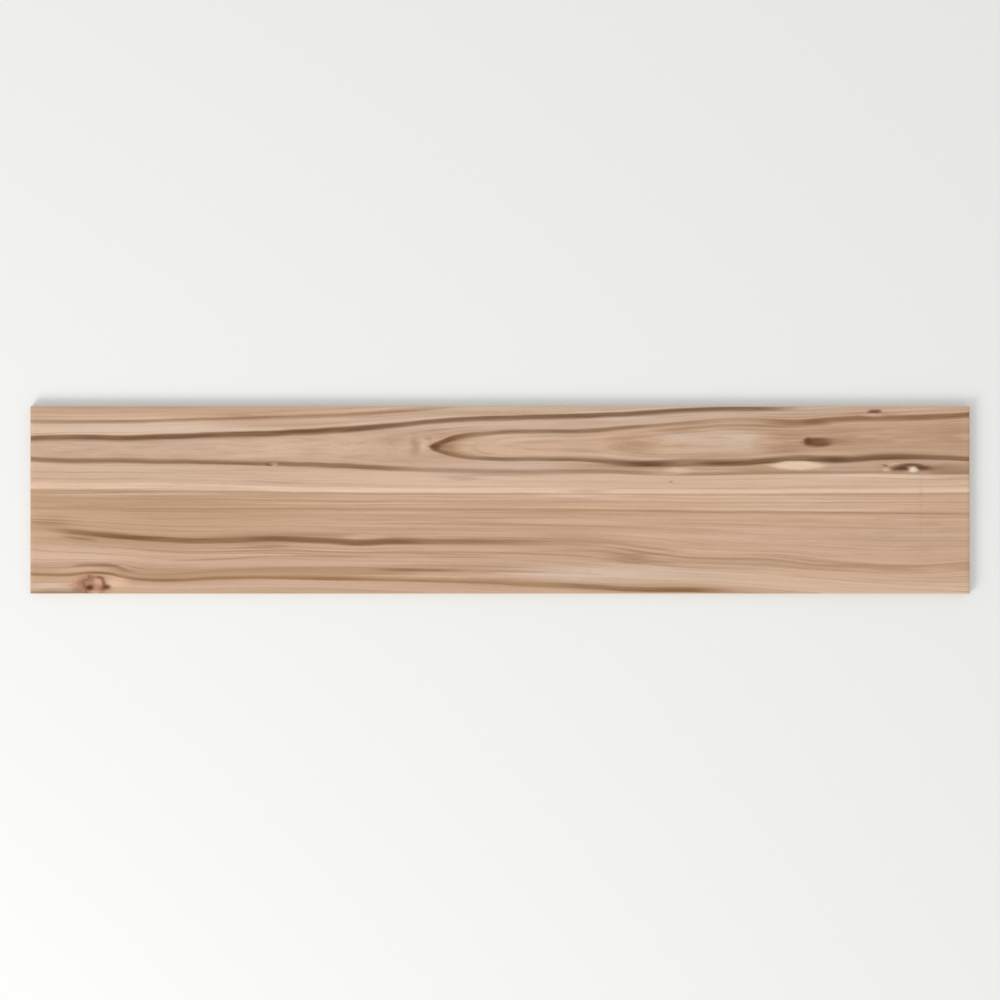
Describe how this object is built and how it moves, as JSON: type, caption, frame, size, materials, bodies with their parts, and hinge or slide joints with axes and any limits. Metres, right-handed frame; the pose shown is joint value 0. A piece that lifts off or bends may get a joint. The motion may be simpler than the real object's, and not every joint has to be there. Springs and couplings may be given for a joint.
{
  "type": "wood look porcelain plank tile",
  "caption": "Flat rectangular porcelain floor or wall plank with a wood grain face, ground edges with a fine bevel, and a back pressed with shallow pockets that key it to the adhesive.",
  "frame": {"origin": "middle of the back, in the plane of the rib crests that the plank lies on", "axes": "+X along the plank's length and its wood grain, +Y across its width, +Z out of the decorated face"},
  "size_m": [1, 0.2, 0.009],
  "materials": {
    "porcelain": "matt glazed face with a printed and embossed wood grain of tan, pale sapwood and thin dark lines; unglazed body on the ground edges and on the ribbed back"
  },
  "bodies": {
    "root": {"plank_tile": "porcelain"}
  },
  "joints": []
}
